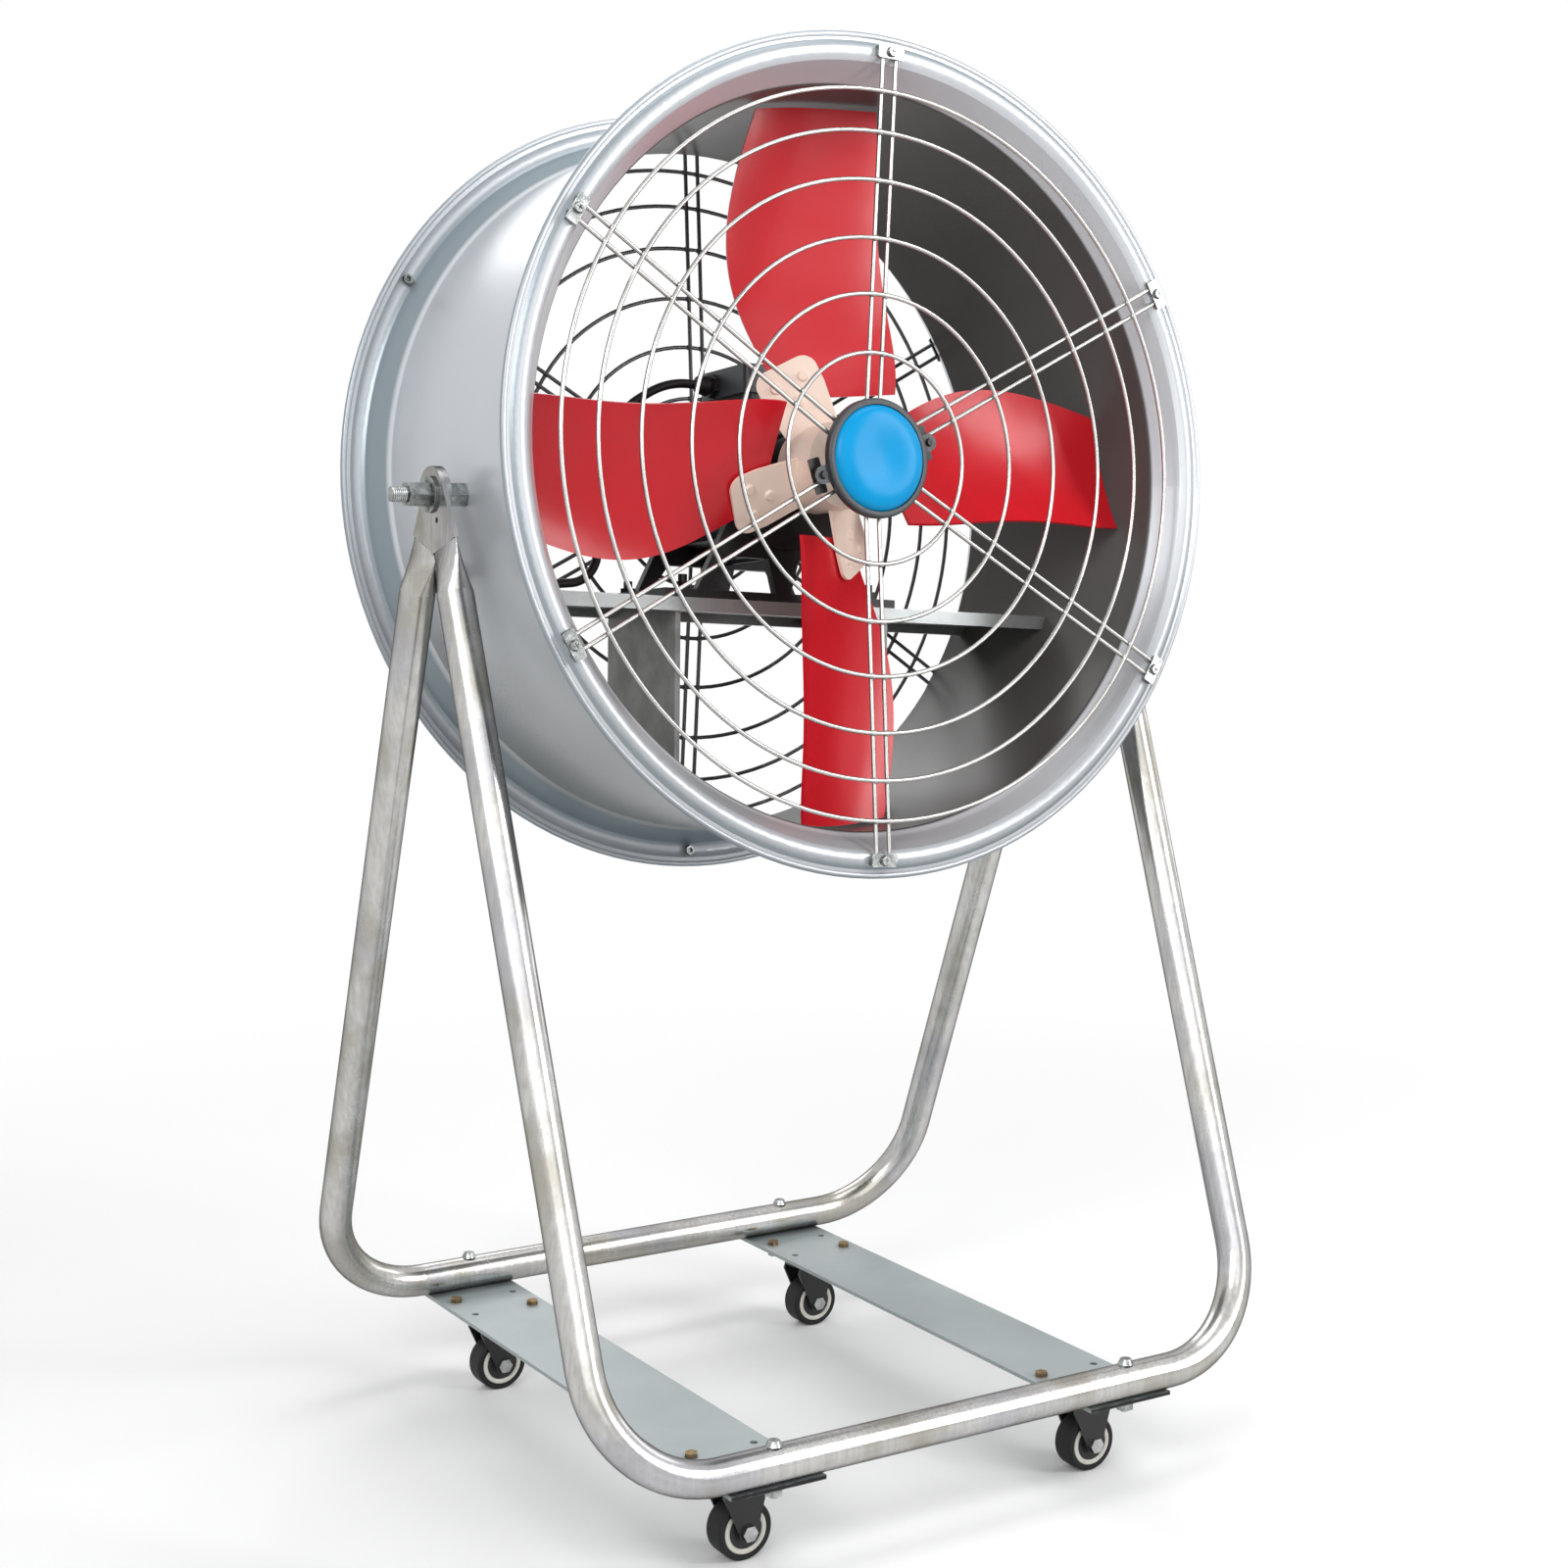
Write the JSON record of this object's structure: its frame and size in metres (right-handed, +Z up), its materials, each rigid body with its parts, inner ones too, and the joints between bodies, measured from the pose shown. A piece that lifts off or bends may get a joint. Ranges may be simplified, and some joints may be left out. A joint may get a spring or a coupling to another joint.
{
  "type": "drum fan",
  "caption": "Axial drum fan with wire guards and a four-bladed rotor, tilting on a stand of bent tube that rolls on swivel casters.",
  "frame": {"origin": "on the floor, midway between the two tilt pivots and midway between the front and rear bars", "axes": "+Z up, the fan blows toward -Y, +X to the right seen from the front"},
  "size_m": [0.752, 0.5864, 1.2319],
  "materials": {
    "drum_enamel": "satin enamel",
    "guard_wire": "galvanised wire",
    "zinc_trim": "zinc plated",
    "bezel_plastic": "matt",
    "badge_face": "glossy",
    "black_steel": "blackened",
    "blade_red": "gloss enamel",
    "hub_cast": "primer and enamel",
    "bright_steel": "ground and plated",
    "core_steel": "stacked steel",
    "winding": "varnished copper wire",
    "motor_black": "black enamel",
    "terminal_grey": "satin",
    "gland_plastic": "matt",
    "cord_rubber": "matt",
    "seat_steel": "galvanised",
    "seat_grey": "satin",
    "tube_zinc": "bright galvanised",
    "plate_zinc": "zinc plated",
    "yellow_zinc": "yellow zinc plated",
    "caster_black": "black",
    "tyre_rubber": "matt",
    "wheel_nylon": "moulded"
  },
  "bodies": {
    "stand": {"base_nuts": "zinc_trim", "base_plate_left": "plate_zinc", "base_plate_right": "plate_zinc", "caster_bolts": "yellow_zinc", "caster_kingpins": "bright_steel", "caster_plates": "zinc_trim", "frame_tube_front": "tube_zinc", "frame_tube_rear": "tube_zinc", "tube_bolts": "zinc_trim"},
    "rotor": {"motor_shaft": "bright_steel", "rotor_core": "core_steel", "fan_hub": "hub_cast", "blade_1": "blade_red", "blade_2": "blade_red", "blade_3": "blade_red", "blade_4": "blade_red", "blade_rivets": "zinc_trim", "hub_screws": "zinc_trim"},
    "fork_body_front_left": {"fork_front_left": "caster_black", "axle_front_left": "bright_steel"},
    "wheel_body_front_left": {"tyre_front_left": "tyre_rubber", "wheel_core_front_left": "wheel_nylon"},
    "fork_body_front_right": {"fork_front_right": "caster_black", "axle_front_right": "bright_steel"},
    "wheel_body_front_right": {"tyre_front_right": "tyre_rubber", "wheel_core_front_right": "wheel_nylon"},
    "fork_body_rear_left": {"fork_rear_left": "caster_black", "axle_rear_left": "bright_steel"},
    "wheel_body_rear_left": {"tyre_rear_left": "tyre_rubber", "wheel_core_rear_left": "wheel_nylon"},
    "fork_body_rear_right": {"fork_rear_right": "caster_black", "axle_rear_right": "bright_steel"},
    "wheel_body_rear_right": {"tyre_rear_right": "tyre_rubber", "wheel_core_rear_right": "wheel_nylon"},
    "drum": {"badge_bezel": "bezel_plastic", "badge_disc": "badge_face", "badge_fixings": "black_steel", "cable_glands": "gland_plastic", "drum_shell": "drum_enamel", "front_guard": "guard_wire", "guard_clips": "zinc_trim", "guard_nuts": "zinc_trim", "guard_screws": "zinc_trim", "motor_bearings": "bright_steel", "motor_bolts": "black_steel", "motor_frame": "motor_black", "motor_front_shield": "motor_black", "motor_lead": "cord_rubber", "motor_nuts": "black_steel", "motor_rear_shield": "motor_black", "motor_seat": "seat_steel", "pivot_bolts": "zinc_trim", "pivot_nuts": "zinc_trim", "pivot_washers": "zinc_trim", "rear_guard": "guard_wire", "seat_legs": "seat_grey", "stator_core": "core_steel", "stator_winding": "winding", "terminal_box": "terminal_grey", "terminal_lid": "terminal_grey"}
  },
  "joints": [
    {"name": "drum_tilt", "type": "hinge", "parent": "stand", "child": "drum", "pos_m": [0, 0, 0.849], "axis": [1, 0, 0], "range_deg": [-23, 31]},
    {"name": "fan_spin", "type": "hinge", "parent": "drum", "child": "rotor", "pos_m": [0, 0.00199, 0.8689], "axis": [0, -0.9951, 0.0993], "continuous": true},
    {"name": "swivel_front_left", "type": "hinge", "parent": "stand", "child": "fork_body_front_left", "pos_m": [-0.179, -0.222, 0.066], "axis": [0, 0, 1], "continuous": true},
    {"name": "roll_front_left", "type": "hinge", "parent": "fork_body_front_left", "child": "wheel_body_front_left", "pos_m": [-0.176, -0.222, 0.025], "axis": [0, 1, 0], "continuous": true},
    {"name": "swivel_front_right", "type": "hinge", "parent": "stand", "child": "fork_body_front_right", "pos_m": [0.179, -0.222, 0.066], "axis": [0, 0, 1], "continuous": true},
    {"name": "roll_front_right", "type": "hinge", "parent": "fork_body_front_right", "child": "wheel_body_front_right", "pos_m": [0.182, -0.222, 0.025], "axis": [0, 1, 0], "continuous": true},
    {"name": "swivel_rear_left", "type": "hinge", "parent": "stand", "child": "fork_body_rear_left", "pos_m": [-0.179, 0.222, 0.066], "axis": [0, 0, 1], "continuous": true},
    {"name": "roll_rear_left", "type": "hinge", "parent": "fork_body_rear_left", "child": "wheel_body_rear_left", "pos_m": [-0.176, 0.222, 0.025], "axis": [0, 1, 0], "continuous": true},
    {"name": "swivel_rear_right", "type": "hinge", "parent": "stand", "child": "fork_body_rear_right", "pos_m": [0.179, 0.222, 0.066], "axis": [0, 0, 1], "continuous": true},
    {"name": "roll_rear_right", "type": "hinge", "parent": "fork_body_rear_right", "child": "wheel_body_rear_right", "pos_m": [0.182, 0.222, 0.025], "axis": [0, 1, 0], "continuous": true}
  ]
}
